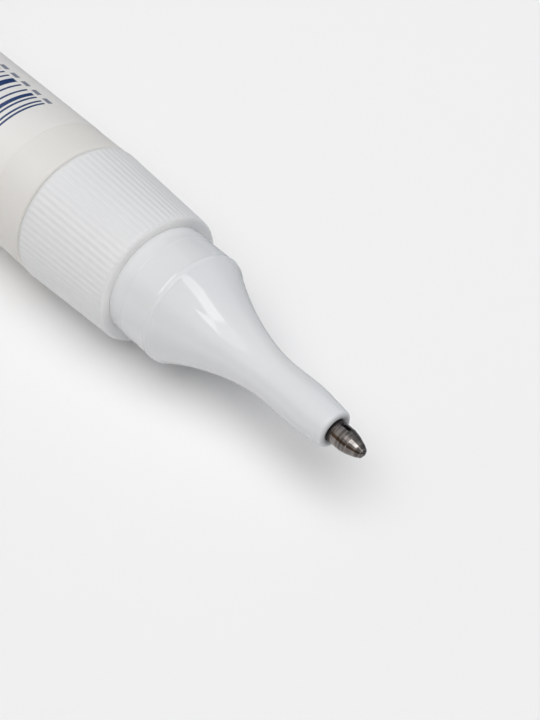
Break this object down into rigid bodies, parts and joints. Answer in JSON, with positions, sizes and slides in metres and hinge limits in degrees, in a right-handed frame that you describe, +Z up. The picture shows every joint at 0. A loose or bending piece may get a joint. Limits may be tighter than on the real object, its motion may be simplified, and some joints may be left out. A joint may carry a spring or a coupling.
{
  "type": "correction pen",
  "caption": "Squeeze-bottle correction pen with a ribbed screw collar, a flared nozzle with a spring-valve metal tip, and a clip cap posted on its rear end.",
  "frame": {"origin": "on the ground under the middle of the lying pen, with the cap posted on its rear end", "axes": "+X along the pen towards the writing tip, +Z up; the printed side of the label faces up"},
  "size_m": [0.152, 0.0182, 0.0183],
  "materials": {
    "bottle_plastic": "satin, slightly translucent",
    "label_film": "satin film with plain navy stripes",
    "fluid": "wet white",
    "steel": "polished",
    "seal_rubber": "matte",
    "nozzle_plastic": "gloss",
    "collar_plastic": "satin",
    "tip_metal": "turned, darkened nickel",
    "cap_plastic": "gloss"
  },
  "bodies": {
    "bottle": {"bottle": "bottle_plastic", "label_sleeve": "label_film", "correction_fluid": "fluid", "neck_gasket": "seal_rubber"},
    "mixing_ball": {"mixing_ball": "steel"},
    "nozzle": {"nozzle": "nozzle_plastic", "tip_cone": "tip_metal", "valve_spring": "steel", "spring_retainer": "collar_plastic"},
    "screw_collar": {"screw_collar": "collar_plastic"},
    "valve_stem": {"push_rod": "steel", "writing_ball": "steel"},
    "cap": {"cap_shell": "cap_plastic", "cap_seal": "seal_rubber"}
  },
  "joints": [
    {"name": "nozzle_lift", "type": "slide", "parent": "bottle", "child": "nozzle", "axis": [1, 0, 0], "range_m": [0, 0.00375]},
    {"name": "collar_turn", "type": "hinge", "parent": "nozzle", "child": "screw_collar", "pos_m": [0.035, 0, 0.00914], "axis": [1, 0, 0], "range_deg": [0, 450]},
    {"name": "tip_press", "type": "slide", "parent": "nozzle", "child": "valve_stem", "axis": [-1, 0, 0], "range_m": [0, 0.0004], "stiffness_N_per_m": 900, "springref_m": -0.0005, "deforming": ["valve_spring"]},
    {"name": "cap_pull", "type": "slide", "parent": "bottle", "child": "cap", "axis": [-1, 0, 0], "range_m": [0, 0.045]},
    {"name": "ball_roll", "type": "slide", "parent": "bottle", "child": "mixing_ball", "axis": [1, 0, 0], "range_m": [-0.025, 0.03]}
  ],
  "couplings": [
    {"joint": "collar_turn", "follows": "nozzle_lift", "rad_per_m": 2094.4}
  ]
}
